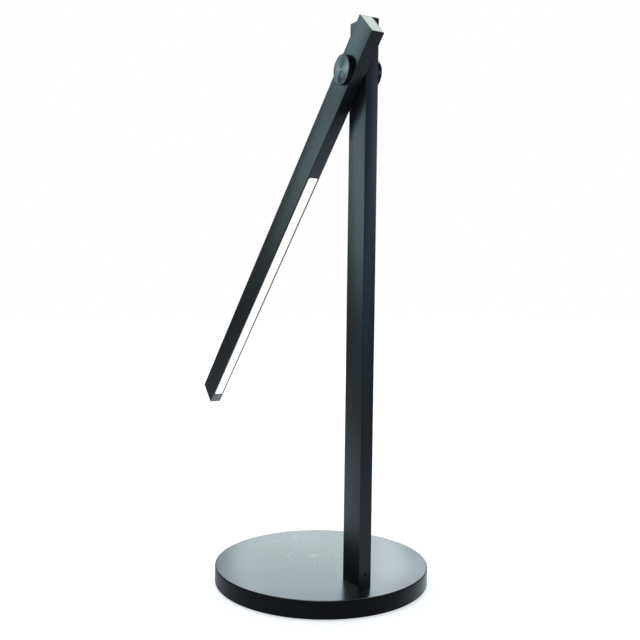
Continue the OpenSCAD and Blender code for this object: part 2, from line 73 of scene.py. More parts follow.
arm_way = (middle("arm_tip_cap") - middle("arm_top_cap")).normalized()
light_way = Vector((1, 0, 0)).cross(arm_way)
arm_frame = Matrix.Identity(4)
arm_frame.col[0][:3] = (1, 0, 0)
arm_frame.col[1][:3] = light_way
arm_frame.col[2][:3] = -arm_way
arm_frame.col[3][:3] = pivot
arm_tilt = math.atan2(-arm_way.y, -arm_way.z)
print("arm leans", round(math.degrees(arm_tilt), 2), "degrees from hanging straight down")

# %% [markdown]
# ## Adding to the scene
# A mesh, lamp or camera shows only once an object holds it and a collection holds the object. Each object
# starts at the origin. Lamps and the camera are moved from there, but a piece stays and has its place in its
# mesh, as the CAD parts do.

# %% Scene helper
def show(name, data):
    """Adds an object that holds this data, at the origin."""
    made = bpy.data.objects.new(name, data)
    bpy.context.scene.collection.objects.link(made)
    return made

# %% [markdown]
# ## The camera
# It stands low behind the lamp's right shoulder, so that both bars show two faces and the base's top is
# seen at a shallow angle. The camera is placed by its position and three axes of its own, and rolls by
# less than a degree.

# %% Camera
CAMERA_AT = Vector((350.4, 595.1, 248.3)) * MM
CAMERA_AZIMUTH = math.radians(149.803)
CAMERA_PITCH = math.radians(2.207)
CAMERA_ROLL = math.radians(0.7126)
CAMERA_LENS = 45.964
CAMERA_SENSOR = 36

back = Vector((
    math.cos(CAMERA_PITCH) * math.sin(CAMERA_AZIMUTH),
    -math.cos(CAMERA_PITCH) * math.cos(CAMERA_AZIMUTH),
    math.sin(CAMERA_PITCH),
))
level = Vector((0, 0, 1)).cross(back).normalized()
upright = back.cross(level)
across = math.cos(CAMERA_ROLL) * level + math.sin(CAMERA_ROLL) * upright
up = -math.sin(CAMERA_ROLL) * level + math.cos(CAMERA_ROLL) * upright
camera_data = bpy.data.cameras.new("camera")
camera_data.lens = CAMERA_LENS
camera_data.sensor_width = CAMERA_SENSOR
camera = show("camera", camera_data)
camera.matrix_world = Matrix((
    (across.x, up.x, back.x, CAMERA_AT.x),
    (across.y, up.y, back.y, CAMERA_AT.y),
    (across.z, up.z, back.z, CAMERA_AT.z),
    (0, 0, 0, 1),
))
bpy.context.scene.camera = camera
print("camera to hinge, in metres:", round((CAMERA_AT - pivot).length, 3))

# %% [markdown]
# ## Helpers for shader nodes
# Every finish here is made of nodes, with no pictures. These helpers keep that short: `node` adds a node
# and fills in its sockets, from a value or from another node's output, and the others build on it.

# %% Shader node helpers
def node(tree, kind, inputs=None, **settings):
    made = tree.nodes.new(kind)
    for key, value in settings.items():
        setattr(made, key, value)
    for key, value in (inputs or {}).items():
        if isinstance(value, bpy.types.NodeSocket):
            tree.links.new(value, made.inputs[key])
        else:
            made.inputs[key].default_value = value
    return made


def maths(tree, operation, a, b=0.0, c=0.0, clamp=False):
    return node(tree, "ShaderNodeMath", {0: a, 1: b, 2: c}, operation=operation, use_clamp=clamp).outputs[0]


def vector_maths(tree, operation, a, b=(0, 0, 0)):
    """The outputs of a Vector Math node: "Vector", and "Value" for a length or a dot product."""
    return node(tree, "ShaderNodeVectorMath", {0: a, 1: b}, operation=operation).outputs


def scale_vector(tree, vector, factor):
    """A vector or colour times a factor that changes over the surface."""
    made = node(tree, "ShaderNodeVectorMath", {0: vector, "Scale": factor}, operation="SCALE")
    return made.outputs["Vector"]


def rgba(colour):
    """A plain colour with full cover; a socket is left as it is."""
    return colour if isinstance(colour, bpy.types.NodeSocket) else (*colour, 1.0)


def blend_colours(tree, factor, a, b):
    return node(tree, "ShaderNodeMix", {0: factor, 6: rgba(a), 7: rgba(b)}, data_type="RGBA").outputs[2]


def new_group(name, inputs, outputs, tree_kind="ShaderNodeTree"):
    """A node group; an input is (name, kind, default) and an output is (name, kind)."""
    tree = bpy.data.node_groups.new(name, tree_kind)
    for label, kind, default in inputs:
        socket = tree.interface.new_socket(label, in_out="INPUT", socket_type=kind)
        if default is not None:
            socket.default_value = default
    for label, kind in outputs:
        tree.interface.new_socket(label, in_out="OUTPUT", socket_type=kind)
    return tree, node(tree, "NodeGroupInput"), node(tree, "NodeGroupOutput")


def use_group(tree, group, inputs):
    return node(tree, "ShaderNodeGroup", inputs, node_tree=group)


def feed(tree, target, sources):
    """Links sources to a node's sockets by name."""
    for key, source in sources.items():
        tree.links.new(source, target.inputs[key])


def new_material(name, **sockets):
    """A material with a Principled shader whose plain sockets are set by name."""
    material = bpy.data.materials.new(name)
    material.use_nodes = True
    tree = material.node_tree
    shader = tree.nodes["Principled BSDF"]
    for key, value in sockets.items():
        shader.inputs[key.replace("_", " ")].default_value = value
    place = node(tree, "ShaderNodeTexCoord").outputs["Object"]
    return material, tree, shader, place


FLOAT, COLOUR, VECTOR = "NodeSocketFloat", "NodeSocketColor", "NodeSocketVector"

# %% [markdown]
# ## The satin surface
# Painted and anodised parts are never one flat colour. Slow clouds shift the colour and the gloss a little,
# and a fine grain of a few tenths of a millimetre breaks up reflections. Most parts of the lamp share this,
# so it is one node group with a value for each. It hands out colour, roughness and normal, and the shader
# itself stays in the material.

# %% Node group: satin surface
GRAIN_HEIGHT = 0.05 * MM
satin_group, given, taken = new_group(
    "satin_surface",
    [("Vector", VECTOR, None), ("Colour", COLOUR, (0.02, 0.02, 0.02, 1)), ("Clouds", FLOAT, 0.15),
     ("Cloud Scale", FLOAT, 30.0), ("Roughness", FLOAT, 0.4), ("Roughness Spread", FLOAT, 0.05),
     ("Grain Scale", FLOAT, 2500.0), ("Grain Depth", FLOAT, 0.1)],
    [("Colour", COLOUR), ("Roughness", FLOAT), ("Normal", VECTOR)],
)
clouds = node(satin_group, "ShaderNodeTexNoise",
              {"Vector": given.outputs["Vector"], "Scale": given.outputs["Cloud Scale"],
               "Detail": 3.0, "Roughness": 0.55}).outputs["Fac"]
grain = node(satin_group, "ShaderNodeTexNoise",
             {"Vector": given.outputs["Vector"], "Scale": given.outputs["Grain Scale"],
              "Detail": 2.0, "Roughness": 0.6}).outputs["Fac"]
centred = maths(satin_group, "SUBTRACT", clouds, 0.5)
shade = maths(satin_group, "MULTIPLY_ADD", maths(satin_group, "MULTIPLY", centred, 2.0),
              given.outputs["Clouds"], 1.0)
tinted = scale_vector(satin_group, given.outputs["Colour"], shade)
gloss = maths(satin_group, "MULTIPLY_ADD", maths(satin_group, "MULTIPLY", centred, 2.0),
              given.outputs["Roughness Spread"], given.outputs["Roughness"])
gloss = maths(satin_group, "MULTIPLY_ADD", maths(satin_group, "SUBTRACT", grain, 0.5),
              given.outputs["Roughness Spread"], gloss)
relief = node(satin_group, "ShaderNodeBump",
              {"Strength": given.outputs["Grain Depth"], "Distance": GRAIN_HEIGHT, "Height": grain})
feed(satin_group, taken, {"Colour": tinted, "Roughness": gloss, "Normal": relief.outputs[0]})
print("satin surface nodes:", len(satin_group.nodes))


def satin(name, colour, roughness, clouds=0.15, spread=0.05, grain=2500.0, depth=0.1, **sockets):
    """A material whose whole look is the satin surface."""
    material, tree, shader, place = new_material(name, **sockets)
    made = use_group(tree, satin_group, {
        "Vector": place, "Colour": rgba(colour), "Clouds": clouds, "Roughness": roughness,
        "Roughness Spread": spread, "Grain Scale": grain, "Grain Depth": depth,
    })
    feed(tree, shader, {"Base Color": made.outputs["Colour"], "Roughness": made.outputs["Roughness"],
                        "Normal": made.outputs["Normal"]})
    return material

# %% [markdown]
# ## The bars' finish
# Post and arm are drawn aluminium with a dark satin coat. Drawing leaves faint streaks along the bar, which
# show as soft lines in the reflections. A noise that is stretched along the bar gives them. The arm leans,
# so its coordinates are first turned back to hanging straight down, and then squeezed along its length.

# %% Materials: the two bars
BAR_BLACK = (0.0072, 0.0080, 0.0094)
BAR_TINT = (0.86, 0.95, 1.0)
STREAK_SCALE = 900.0
STREAK_SQUEEZE = 0.012
STREAK_SHARE = 0.10


def bar_finish(name, turn, shine):
    """The bars' coat; turn brings a bar's own length to the vertical, and shine is its specular level."""
    material, tree, shader, place = new_material(name, Specular_IOR_Level=shine, Specular_Tint=rgba(BAR_TINT))
    straight = node(tree, "ShaderNodeMapping", {"Vector": place, "Rotation": (turn, 0, 0)}).outputs[0]
    squeezed = node(tree, "ShaderNodeMapping",
                    {"Vector": straight, "Scale": (1, 1, STREAK_SQUEEZE)}).outputs[0]
    streaks = node(tree, "ShaderNodeTexNoise",
                   {"Vector": squeezed, "Scale": STREAK_SCALE, "Detail": 3.0,
                    "Roughness": 0.7}).outputs["Fac"]
    made = use_group(tree, satin_group, {
        "Vector": straight, "Colour": rgba(BAR_BLACK), "Clouds": 0.25, "Cloud Scale": 18.0,
        "Roughness": 0.31, "Roughness Spread": 0.03, "Grain Scale": 2200.0, "Grain Depth": 0.10,
    })
    streaked = node(tree, "ShaderNodeBump",
                    {"Strength": STREAK_SHARE, "Distance": GRAIN_HEIGHT, "Height": streaks,
                     "Normal": made.outputs["Normal"]}).outputs[0]
    dulled = maths(tree, "MULTIPLY_ADD", maths(tree, "SUBTRACT", streaks, 0.5), STREAK_SHARE,
                   made.outputs["Roughness"])
    feed(tree, shader, {"Base Color": made.outputs["Colour"], "Roughness": dulled, "Normal": streaked})
    return material


post_finish = bar_finish("post_satin_black", 0.0, 0.56)
arm_finish = bar_finish("arm_satin_black", arm_tilt, 0.45)
# The tip's pale grey is a painted reflection of the floor below, not a colour of the bar.
tip_painted_reflection = satin("tip_painted_floor_reflection", (0.20, 0.215, 0.215), 0.38, clouds=0.15, depth=0.08)
plug_finish = satin("end_plug_gloss", (0.020, 0.022, 0.024), 0.18, clouds=0.1, spread=0.01, depth=0.003,
                    IOR=1.7)
print("bar finishes:", [finish.name for finish in (post_finish, arm_finish, tip_painted_reflection, plug_finish)])

# %% [markdown]
# ## The base's finish
# The base is one moulding, but its top is smoother than its side: the top picks up a pale sheen at a
# shallow angle, while the side stays a dull black. So it has two finishes. They meet a little way down the
# rounded edge.

# %% Materials: the base cover
BASE_BLACK = (0.0038, 0.0043, 0.0054)
base_top = satin("cover_top_satin", BASE_BLACK, 0.24, clouds=0.2, spread=0.03, grain=1800.0, depth=0.06,
                 IOR=1.62)
base_side = satin("cover_side_matt", BASE_BLACK, 0.30, clouds=0.2, grain=1800.0, depth=0.12,
                  Specular_IOR_Level=0.12)
print("base finishes:", base_top.name, base_side.name)

# %% [markdown]
# ## Spun metal for the hinge covers
# The two round covers are turned on a lathe. The tool leaves rings, and rings stretch each reflection across
# them, which gives the two opposite fans of light and dark on the face. The shader's anisotropy does this
# when its tangent runs round the axis: that is the cross product of the hinge axis and the vector from the
# axis to the point, turned from the part's space to the world's so that it follows the arm.

# %% Materials: the hinge covers
SPUN_GREY = (0.156, 0.172, 0.171)
RING_SCALE = 9000.0
RING_STRENGTH = 0.015
RING_HEIGHT = 0.03 * MM


def spun_finish(name):
    material, tree, shader, place = new_material(name, Metallic=0.8, Anisotropic=1.0)
    outward = vector_maths(tree, "SUBTRACT", place, (0, pivot.y, pivot.z))["Vector"]
    flat = vector_maths(tree, "MULTIPLY", outward, (0, 1, 1))["Vector"]
    radius = vector_maths(tree, "LENGTH", flat)["Value"]
    around = vector_maths(tree, "CROSS_PRODUCT", (1, 0, 0), flat)["Vector"]
    world = node(tree, "ShaderNodeVectorTransform", {"Vector": around}, vector_type="VECTOR",
                 convert_from="OBJECT", convert_to="WORLD").outputs[0]
    tangent = vector_maths(tree, "NORMALIZE", world)["Vector"]
    rings = node(tree, "ShaderNodeTexNoise", {"W": radius, "Scale": RING_SCALE, "Detail": 2.0},
                 noise_dimensions="1D").outputs["Fac"]
    relief = node(tree, "ShaderNodeBump",
                  {"Strength": RING_STRENGTH, "Distance": RING_HEIGHT, "Height": rings}).outputs[0]
    made = use_group(tree, satin_group, {
        "Vector": place, "Colour": rgba(SPUN_GREY), "Clouds": 0.04, "Roughness": 0.34,
        "Roughness Spread": 0.02, "Grain Depth": 0.0,
    })
    feed(tree, shader, {"Base Color": made.outputs["Colour"], "Roughness": made.outputs["Roughness"],
                        "Normal": relief, "Tangent": tangent})
    return material


spun_metal = spun_finish("spun_dark_metal")
# The arm cover's darker, duller rim is painted shade; the post's cover, the same part, has a shinier rim.
rim_painted_shade = satin("cover_rim_painted_shade", (0.004, 0.0043, 0.005), 0.35, clouds=0.1, depth=0.08,
                  Specular_IOR_Level=0.15)
print("hinge cover finishes:", spun_metal.name, rim_painted_shade.name)

# %% [markdown]
# ## The light strip
# A strip of opal plastic in front of many small chips glows evenly. It is drawn as plain emission just under
# white, a touch warmer near the hinge and cooler at the tip, with a very faint ripple from the chips behind
# it. Its own colour is kept low, because what the lamps add to the glow would clip to a flat white.

# %% Material: the light strip
WINDOW_START = 94 * MM
WINDOW_END = 377.5 * MM
CHIP_PITCH = 275.5 * MM / 35
CHIP_RIPPLE = 0.012
GLOW_NEAR_HINGE = (0.90, 0.885, 0.81)
GLOW_AT_TIP = (0.87, 0.875, 0.86)


def opal_finish():
    material, tree, shader, place = new_material("opal_light", Base_Color=(0.30, 0.30, 0.29, 1),
                                                  Roughness=0.45, Emission_Strength=1.0)
    moved = vector_maths(tree, "SUBTRACT", place, tuple(pivot))["Vector"]
    along = vector_maths(tree, "DOT_PRODUCT", moved, tuple(arm_way))["Value"]
    share = node(tree, "ShaderNodeMapRange",
                 {"Value": along, "From Min": WINDOW_START, "From Max": WINDOW_END}).outputs["Result"]
    colour = blend_colours(tree, share, GLOW_NEAR_HINGE, GLOW_AT_TIP)
    chips = maths(tree, "SINE", maths(tree, "MULTIPLY", along, 2 * math.pi / CHIP_PITCH))
    glow = maths(tree, "MULTIPLY_ADD", chips, CHIP_RIPPLE, 1.0)
    feed(tree, shader, {"Emission Color": scale_vector(tree, colour, glow)})
    return material


opal_light = opal_finish()
print("window length in mm:", round((WINDOW_END - WINDOW_START) / MM, 1))

# %% [markdown]
# ## The other finishes
# Most inner parts are hidden, but each still gets a finish with some life in it: cast iron is coarse, foam
# is open and matt, boards are green lacquer with a fine grain, and bare metal is brighter and smoother.
# A finish goes on by the part's material slot in the CAD record. Only the set screw is an exception: its slot
# is bright steel, but on this lamp it is blackened.

# %% Materials by slot
slot_materials = {
    "bar_black": post_finish,
    "cap_black": plug_finish,
    "knob_metal": spun_metal,
    "cover_black": base_side,
    "opal": opal_light,
    "foam": satin("foam_black", (0.02, 0.02, 0.021), 0.9, clouds=0.3, grain=900.0, depth=0.8),
    "plate_steel": satin("painted_plate", (0.05, 0.05, 0.053), 0.5, grain=1500.0, depth=0.3),
    "weight_iron": satin("cast_weight", (0.16, 0.16, 0.165), 0.65, clouds=0.3, grain=500.0, depth=0.7,
                         Metallic=0.8),
    "bright_steel": satin("bright_steel", (0.55, 0.55, 0.56), 0.28, clouds=0.08, depth=0.1, Metallic=1.0),
    "bare_aluminium": satin("bare_aluminium", (0.66, 0.67, 0.68), 0.38, clouds=0.08, depth=0.2, Metallic=1.0),
    "socket_black": satin("socket_black", (0.012, 0.012, 0.013), 0.42, depth=0.15),
    "copper": satin("copper_foil", (0.72, 0.36, 0.20), 0.30, clouds=0.12, depth=0.1, Metallic=1.0),
    "ferrite": satin("ferrite_sheet", (0.06, 0.06, 0.065), 0.6, grain=1200.0, depth=0.5),
    "tray_white": satin("tray_plastic", (0.62, 0.62, 0.59), 0.5, clouds=0.05, depth=0.1),
    "board_green": satin("board_lacquer", (0.02, 0.12, 0.055), 0.32, clouds=0.2, grain=1600.0, depth=0.25),
    "board_white": satin("board_white", (0.78, 0.78, 0.75), 0.35, clouds=0.05, depth=0.1),
    "chip_yellow": satin("chip_phosphor", (0.85, 0.68, 0.16), 0.35, clouds=0.1, depth=0.1),
    "reflector_white": satin("reflector_white", (0.86, 0.86, 0.86), 0.3, clouds=0.03, depth=0.05),
    "lead_black": satin("lead_black", (0.02, 0.02, 0.02), 0.5, depth=0.1),
    "lead_red": satin("lead_red", (0.30, 0.02, 0.02), 0.45, depth=0.1),
    "washer_grey": satin("washer_grey", (0.08, 0.08, 0.08), 0.6, depth=0.3),
}

node_slots = {part["node"]: part["material_slot"] for part in frame["record"]["subparts"]}
for name, slot_name in node_slots.items():
    mesh = frame["nodes"][name].data
    mesh.materials.clear()
    mesh.materials.append(slot_materials[slot_name])
frame["nodes"]["set_screw"].data.materials[0] = satin(
    "blackened_screw", (0.012, 0.012, 0.013), 0.35, depth=0.1, Metallic=0.6)
print("finished CAD nodes:", len(node_slots))

# %% [markdown]
# ## Helpers for meshes
# Bars and plates are a round-cornered outline carried through several heights. Each height can be drawn in a
# little, which makes the eased edge at an end. Faces then join each outline to the next.

# %% Outlines and lofts
CORNER_STEPS = 6


def round_rectangle(width, depth, radius):
    """Points of a rectangle with round corners, counter-clockwise."""
    points = []
    for sx, sy, start in ((1, 1, 0), (-1, 1, 90), (-1, -1, 180), (1, -1, 270)):
        for i in range(CORNER_STEPS + 1):
            angle = math.radians(start + 90 * i / CORNER_STEPS)
            points.append((sx * (width / 2 - radius) + radius * math.cos(angle),
                           sy * (depth / 2 - radius) + radius * math.sin(angle)))
    return points


def loft(outlines, closed, made=None):
    """Joins outlines of equal length, each (points, height), and closes its ends, or its loop if closed."""
    if made is None:
        made = bmesh.new()
    loops = [[made.verts.new((x, y, z)) for x, y in points] for points, z in outlines]
    count = len(loops[0])
    pairs = list(zip(loops, loops[1:] + loops[:1])) if closed else list(zip(loops, loops[1:]))
    for lower, upper in pairs:
        for i in range(count):
            j = (i + 1) % count
            made.faces.new((lower[i], lower[j], upper[j], upper[i]))
    if not closed:
        made.faces.new(loops[0][::-1])
        made.faces.new(loops[-1])
    return made

# %% [markdown]
# ## From mesh to piece
# Faces are shaded smooth, and edges over 30 degrees stay sharp, so round parts look round and corners crisp.
# Holes are cut with Boolean modifiers. A modifier is only a recipe, so its result is kept as a plain mesh.
# Last, each piece is painted, fixed to a body, and takes the place of the CAD part that it stands for.

# %% Finish, cut and settle
SHARP_FROM = math.radians(30)
ROD_STEPS = 48


def smooth_faces(mesh):
    mesh.polygons.foreach_set("use_smooth", [True] * len(mesh.polygons))
    mesh.set_sharp_from_angle(angle=SHARP_FROM)


def finish_mesh(made, name, place=None):
    """Turns a bmesh into an object whose place is in its mesh."""
    if place is not None:
        made.transform(place)
    bmesh.ops.recalc_face_normals(made, faces=made.faces)
    mesh = bpy.data.meshes.new(name)
    made.to_mesh(mesh)
    made.free()
    smooth_faces(mesh)
    return show(name, mesh)


def rod(name, radius, start, end):
    """A plain round cutter between two points."""
    start, end = Vector(start), Vector(end)
    made = bmesh.new()
    bmesh.ops.create_cone(made, cap_ends=True, segments=ROD_STEPS, radius1=radius, radius2=radius,
                          depth=(end - start).length)
    turn = (end - start).to_track_quat("Z", "Y").to_matrix().to_4x4()
    return finish_mesh(made, name, Matrix.Translation((start + end) / 2) @ turn)


def apply_modifiers(piece):
    """Replaces a piece's mesh with its evaluated one and drops its modifiers."""
    bpy.context.view_layer.update()
    graph = bpy.context.evaluated_depsgraph_get()
    finished = bpy.data.meshes.new_from_object(piece.evaluated_get(graph))
    piece.modifiers.clear()
    piece.data = finished


def cut_away(piece, cutters):
    """Cuts the cutters out of a piece, applies the cuts and removes the cutters."""
    for cutter in cutters:
        modifier = piece.modifiers.new("cut", "BOOLEAN")
        modifier.operation = "DIFFERENCE"
        modifier.solver = "EXACT"
        modifier.object = cutter
    apply_modifiers(piece)
    for cutter in cutters:
        bpy.data.objects.remove(cutter)
    smooth_faces(piece.data)


def paint(piece, material):
    piece.data.materials.clear()
    piece.data.materials.append(material)


def settle(piece, body, slot_name, material, *replaced):
    """Paints a piece, fixes it to its body and hides the CAD nodes that it stands for."""
    paint(piece, material)
    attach(piece, body)
    if replaced:
        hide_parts(*replaced)
    print(piece.name, "faces:", len(piece.data.polygons))

# %% [markdown]
# ## The two bars
# Post and arm are the same rectangular tube, 11 by 24 mm, with barely rounded long edges and square-cut
# ends. A tube is four outlines outside and two inside, joined in a loop. The outside's first and last are
# drawn in by 0.4 mm to ease the cut ends, which is the thin line that outlines them. An extra outline, called
# a seam here, splits the long faces at one height, so that the material can change there: on the arm, the
# tip's painted reflection starts at it.

# %% Bar sizes
post_low, post_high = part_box("post_tube")
bar_width = post_high.x - post_low.x
bar_depth = post_high.y - post_low.y
LONG_EDGE = 0.4 * MM
CUT_EASE = 0.4 * MM
CUT_CORNER = 0.3 * MM
HOLLOW_CORNER = 0.2 * MM
print("bar section in mm:", round(bar_width / MM, 2), round(bar_depth / MM, 2))


def hollow_outline(walls, play, corner):
    """The inside of a bar, drawn in by some play; walls are those to both sides, to -Y and to +Y."""
    side, low, high = walls
    corners = round_rectangle(bar_width - 2 * (side + play), bar_depth - low - high - 2 * play, corner)
    return [(x, y + (low - high) / 2) for x, y in corners]


def tube(walls, z0, z1, seams=()):
    """A bar from one height to another; seams are the heights of extra outlines."""
    outer = round_rectangle(bar_width, bar_depth, LONG_EDGE)
    drawn_in = round_rectangle(bar_width - 2 * CUT_EASE, bar_depth - 2 * CUT_EASE, CUT_CORNER)
    hollow = hollow_outline(walls, 0.0, HOLLOW_CORNER)
    return loft([(drawn_in, z0), (outer, z0 + CUT_EASE)] + [(outer, z) for z in seams]
                + [(outer, z1 - CUT_EASE), (drawn_in, z1), (hollow, z1), (hollow, z0)], closed=True)

# %% [markdown]
# ## The post
# The post is one tube with two round holes cut in it: one right through for the hinge axle, and a small one
# low in its rear face for the set screw that locks the foot.

# %% Post
CUT_PAST = 1.0 * MM
AXLE_HOLE_RADIUS = 4.08 * MM
SCREW_HOLE_RADIUS = 1.55 * MM
SCREW_HOLE_DEPTH = 3.0 * MM
POST_WALLS = (1.5 * MM, 1.5 * MM, 1.5 * MM)


def axle_hole(x):
    """A cutter for the axle's hole through the bar whose middle is at x."""
    return rod("axle_hole", AXLE_HOLE_RADIUS, (x - bar_width, pivot.y, pivot.z),
               (x + bar_width, pivot.y, pivot.z))


post_at = middle("post_tube")
post_axis = Matrix.Translation((post_at.x, post_at.y, 0))
post = finish_mesh(tube(POST_WALLS, post_low.z, post_high.z), "post_bar", post_axis)
screw_z = middle("set_screw").z
screw_hole = rod("screw_hole", SCREW_HOLE_RADIUS, (post_at.x, post_high.y - SCREW_HOLE_DEPTH, screw_z),
                 (post_at.x, post_high.y + CUT_PAST, screw_z))
cut_away(post, [screw_hole, axle_hole(post_at.x)])
settle(post, "stand", "bar_black", post_finish, "post_tube")

# %% [markdown]
# ## The arm and its light window
# The arm is the same tube, built in the arm's own frame. The window is a long pocket with round corners,
# cut through the light side with a Boolean, because it is one plain cut in a flat wall. Between the window
# and the tip the light side is painted a pale grey, which starts at a seam just past the window. That grey
# is a painted reflection of the pale floor below it, on a face that is as black as the rest of the bar. The
# cut at the upper end has the plug's gloss, so that plug and tube catch the light as one pale face.

# %% Arm
ARM_REACH = 390 * MM
ARM_STUB = 40 * MM
LIGHT_WALL = 2.0 * MM
ARM_WALLS = (1.2 * MM, 1.2 * MM, LIGHT_WALL)
WINDOW_WIDTH = 8.4 * MM
WINDOW_CORNER = 1.5 * MM
TIP_SEAM = WINDOW_END + 1.0 * MM
STRIP_PLAY = 0.06 * MM
STRIP_SINK = 0.06 * MM
STRIP_BACK = 0.02 * MM
STRIP_EASE = 0.15 * MM
FACES_IT = 0.9  # least cosine between a face's normal and a way that it faces
arm_x = middle("arm_channel").x
in_arm = arm_frame @ Matrix.Translation((arm_x, 0, 0))
window_middle = -(WINDOW_START + WINDOW_END) / 2
window_turn = in_arm @ Matrix.Translation((0, bar_depth / 2, window_middle)) @ Matrix.Rotation(
    math.radians(-90), 4, "X")


def window_plate(name, play, low, high, ease):
    """A plate of the window's shape, from low to high measured outwards from the bar's face."""
    width = WINDOW_WIDTH - 2 * play
    length = WINDOW_END - WINDOW_START - 2 * play
    full = round_rectangle(width, length, WINDOW_CORNER - play)
    eased = round_rectangle(width - 2 * ease, length - 2 * ease, WINDOW_CORNER - play - ease)
    made = loft([(full, low), (full, high - ease), (eased, high)], closed=False)
    return finish_mesh(made, name, window_turn)


arm = finish_mesh(tube(ARM_WALLS, -ARM_REACH, ARM_STUB, [-TIP_SEAM]), "arm_bar", in_arm)
window_cut = window_plate("window_cut", 0.0, -LIGHT_WALL - CUT_PAST, CUT_PAST, STRIP_EASE)
cut_away(arm, [window_cut, axle_hole(arm_x)])
settle(arm, "arm", "bar_black", arm_finish, "arm_channel")
# The light side past the window takes the pale grey, a painted reflection of the floor.
arm.data.materials.append(tip_painted_reflection)
arm.data.materials.append(plug_finish)
for face in arm.data.polygons:
    beyond = (face.center - pivot).dot(arm_way) > TIP_SEAM
    if beyond and face.normal.dot(light_way) > FACES_IT:
        face.material_index = 1
    elif face.normal.dot(arm_way) < -FACES_IT:
        face.material_index = 2

light = window_plate("light_strip", STRIP_PLAY, -LIGHT_WALL + STRIP_BACK, -STRIP_SINK, STRIP_EASE)
settle(light, "arm", "opal", opal_light, "diffuser")

# %% [markdown]
# ## End plugs
# A plug closes each open end. It sits a hair below the cut end of the tube, with a fine gap round it and an
# eased edge, so that a thin line shows where the tube ends and the plug begins.

# %% End plugs
PLUG_GAP = 0.05 * MM
PLUG_SINK = 0.03 * MM
PLUG_DEEP = 7 * MM
PLUG_EASE = 0.15 * MM
PLUG_CORNER = 0.35 * MM


def end_plug(name, walls, end, inward, place, body, replaced):
    """A plug for the cut end at this height; inward is +1 where the tube runs up from it."""
    full = hollow_outline(walls, PLUG_GAP, PLUG_CORNER)
    drawn_in = hollow_outline(walls, PLUG_GAP + PLUG_EASE, PLUG_CORNER)
    top = end + inward * PLUG_SINK
    made = loft([(drawn_in, top), (full, top + inward * PLUG_EASE), (full, end + inward * PLUG_DEEP)],
                closed=False)
    settle(finish_mesh(made, name, place), body, "cap_black", plug_finish, replaced)


end_plug("post_top_plug", POST_WALLS, post_high.z, -1, post_axis, "stand", "post_cap")
end_plug("arm_top_plug", ARM_WALLS, ARM_STUB, -1, in_arm, "arm", "arm_top_cap")
end_plug("arm_tip_plug", ARM_WALLS, -ARM_REACH, 1, in_arm, "arm", "arm_tip_cap")

# %% [markdown]
# ## Turned parts
# The base cover and the hinge covers are round, so each is an outline spun about an axis. Geometry Nodes do
# the spinning: a grid has one column for each step round the axis and one row for each point of the outline,
# and every grid point is sent to the outline's radius and height, turned by its column's angle. The grid's
# two ends then meet and are merged. One tree makes every turned part.

# %% Helpers for node trees
INTEGER, MATERIAL, GEOMETRY = "NodeSocketInt", "NodeSocketMaterial", "NodeSocketGeometry"


def geometry_tree(name, inputs):
    return new_group(name, [("Geometry", GEOMETRY, None)] + inputs, [("Geometry", GEOMETRY)],
                     "GeometryNodeTree")


def use_tree(piece, tree, values):
    """Adds a tree as a modifier, sets each input by its socket's identifier, and applies it."""
    modifier = piece.modifiers.new(tree.name, "NODES")
    modifier.node_group = tree
    sockets = {item.name: item.identifier for item in tree.interface.items_tree if item.in_out == "INPUT"}
    for label, value in values.items():
        modifier[sockets[label]] = value
    apply_modifiers(piece)

# %% Node tree: spin an outline
MERGE_WITHIN = 0.001 * MM
spin_tree, spin_in, spin_out = geometry_tree(
    "spin_outline", [("Steps", INTEGER, 192), ("Material", MATERIAL, None)])
points = node(spin_tree, "GeometryNodeAttributeDomainSize", {0: spin_in.outputs["Geometry"]}).outputs[0]
columns = maths(spin_tree, "ADD", spin_in.outputs["Steps"], 1)
grid = node(spin_tree, "GeometryNodeMeshGrid", {"Vertices X": columns, "Vertices Y": points}).outputs[0]
index = node(spin_tree, "GeometryNodeInputIndex").outputs[0]
column = maths(spin_tree, "FLOOR", maths(spin_tree, "DIVIDE", index, points))
row = maths(spin_tree, "SUBTRACT", index, maths(spin_tree, "MULTIPLY", column, points))
angle = maths(spin_tree, "DIVIDE", maths(spin_tree, "MULTIPLY", column, 2 * math.pi),
              spin_in.outputs["Steps"])
outline_point = node(spin_tree, "GeometryNodeSampleIndex",
                     {"Geometry": spin_in.outputs["Geometry"], "Index": row}, data_type="FLOAT_VECTOR")
spin_tree.links.new(node(spin_tree, "GeometryNodeInputPosition").outputs[0], outline_point.inputs["Value"])
turned = node(spin_tree, "ShaderNodeVectorRotate", {"Vector": outline_point.outputs[0], "Angle": angle},
              rotation_type="Z_AXIS").outputs[0]
placed = node(spin_tree, "GeometryNodeSetPosition", {"Geometry": grid, "Position": turned}).outputs[0]
merged = node(spin_tree, "GeometryNodeMergeByDistance",
              {"Geometry": placed, "Distance": MERGE_WITHIN}).outputs[0]
solid = node(spin_tree, "GeometryNodeRealizeInstances", {"Geometry": merged}).outputs[0]
coated = node(spin_tree, "GeometryNodeSetMaterial",
              {"Geometry": solid, "Material": spin_in.outputs["Material"]}).outputs[0]
feed(spin_tree, spin_out, {"Geometry": coated})
print("spin tree nodes:", len(spin_tree.nodes))

# %% Spinning
def arc(centre, radius, start, end, steps):
    """Points (radius, height) of an arc, in degrees."""
    return [(centre[0] + radius * math.cos(math.radians(start + (end - start) * i / steps)),
             centre[1] + radius * math.sin(math.radians(start + (end - start) * i / steps)))
            for i in range(steps + 1)]


